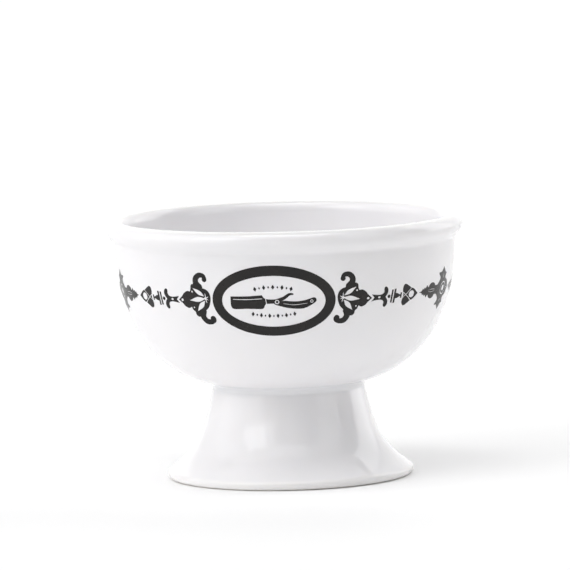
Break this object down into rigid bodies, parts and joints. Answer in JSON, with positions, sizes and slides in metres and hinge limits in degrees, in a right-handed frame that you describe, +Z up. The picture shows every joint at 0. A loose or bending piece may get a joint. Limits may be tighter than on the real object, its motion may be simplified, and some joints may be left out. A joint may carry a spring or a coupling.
{
  "type": "shaving mug",
  "caption": "Footed porcelain shaving mug: an open turned bowl with a rolled lip on a flared hollow foot, with a black ornamental band round the belly and a razor in an oval frame.",
  "frame": {"origin": "centre of the standing ring, on the surface the mug rests on", "axes": "+Z up along the axis of the bowl and foot, -Y towards the front oval frame, +X to its right"},
  "size_m": [0.11, 0.11, 0.0805],
  "materials": {
    "white_glaze": "clear gloss glaze over white porcelain",
    "slip": "slip joint under the same gloss glaze, sponged smooth",
    "black_enamel": "black transfer print fired on, satin gloss"
  },
  "bodies": {
    "root": {"bowl": "white_glaze", "foot": "white_glaze", "luting_seam": "slip", "front_oval_frame": "black_enamel", "front_razor": "black_enamel", "front_left_palmette": "black_enamel", "front_left_link": "black_enamel", "front_left_baluster": "black_enamel", "front_left_spade": "black_enamel", "front_left_finial": "black_enamel", "front_left_rosette": "black_enamel", "front_right_palmette": "black_enamel", "front_right_link": "black_enamel", "front_right_baluster": "black_enamel", "front_right_spade": "black_enamel", "front_right_finial": "black_enamel", "front_right_rosette": "black_enamel", "back_oval_frame": "black_enamel", "back_razor": "black_enamel", "back_left_palmette": "black_enamel", "back_left_link": "black_enamel", "back_left_baluster": "black_enamel", "back_left_spade": "black_enamel", "back_left_finial": "black_enamel", "back_left_rosette": "black_enamel", "back_right_palmette": "black_enamel", "back_right_link": "black_enamel", "back_right_baluster": "black_enamel", "back_right_spade": "black_enamel", "back_right_finial": "black_enamel", "back_right_rosette": "black_enamel", "left_side_spindle": "black_enamel", "right_side_spindle": "black_enamel"}
  },
  "joints": []
}
